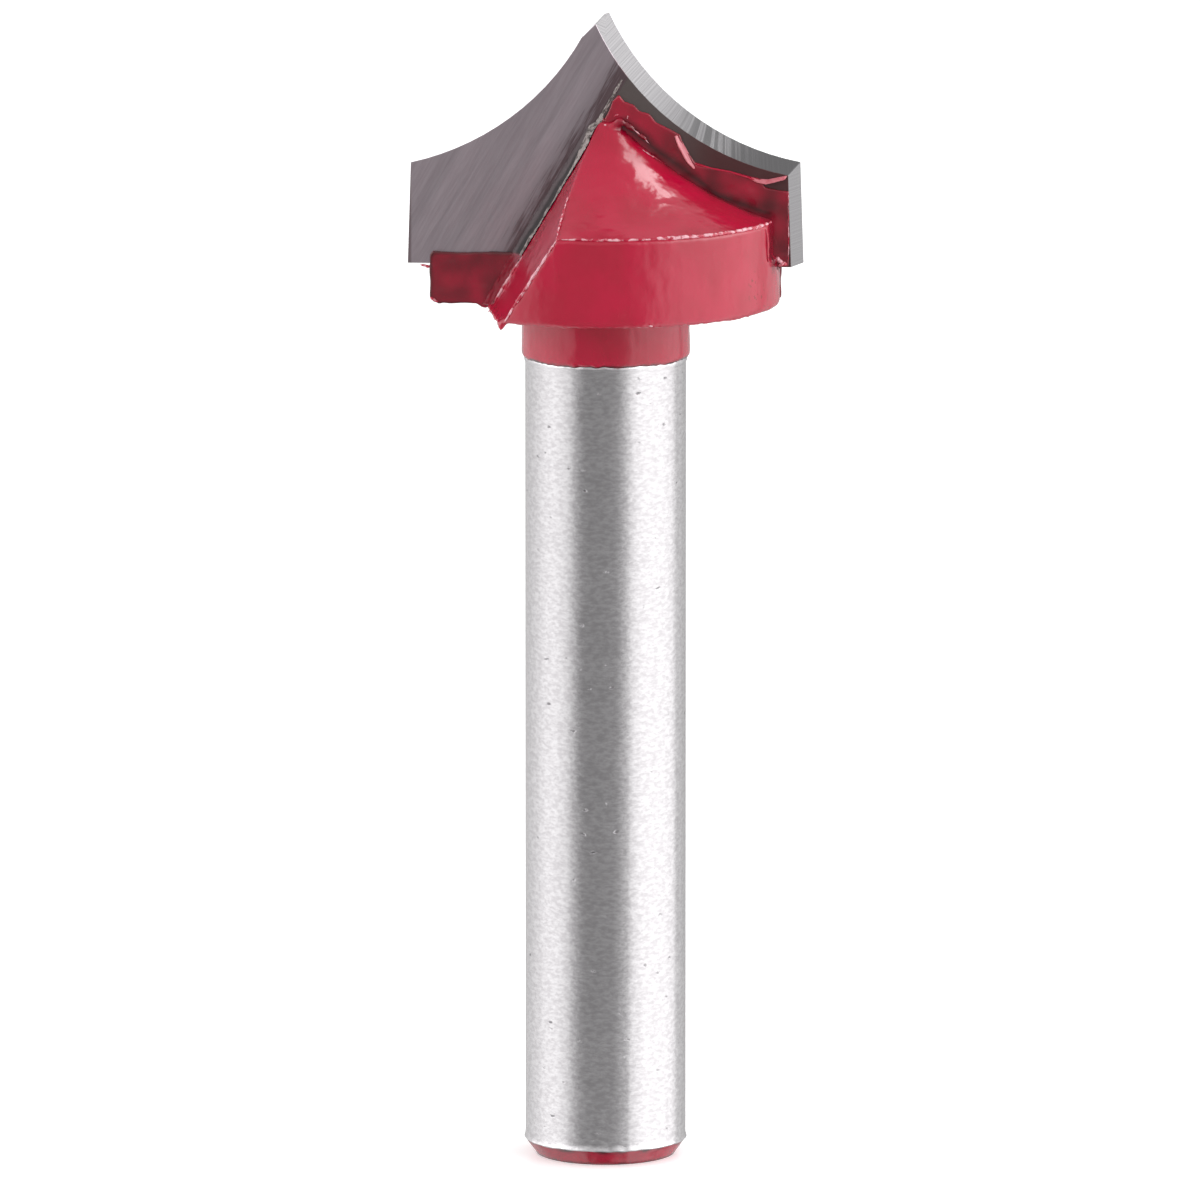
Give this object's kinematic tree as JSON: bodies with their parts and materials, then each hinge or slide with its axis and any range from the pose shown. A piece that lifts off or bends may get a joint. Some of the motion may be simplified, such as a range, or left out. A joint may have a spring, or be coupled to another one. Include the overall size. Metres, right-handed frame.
{
  "type": "v groove router bit",
  "caption": "Router bit with a round shank, a painted drum head and a flat carbide blade ground to a point, for cutting grooves with hollow sloping sides.",
  "frame": {"origin": "centre of the shank's end face", "axes": "+Z along the axis from the shank's end to the point; the blade lies in the XZ plane"},
  "size_m": [0.0156, 0.0138, 0.0456],
  "materials": {
    "bit_body": "glossy red enamel on head, collar and end face; the shank is bare satin steel",
    "carbide_blade": "ground tungsten carbide",
    "braze_joint": "silver braze"
  },
  "bodies": {
    "root": {"bit_body": "bit_body", "carbide_blade": "carbide_blade", "braze_joint": "braze_joint"}
  },
  "joints": []
}
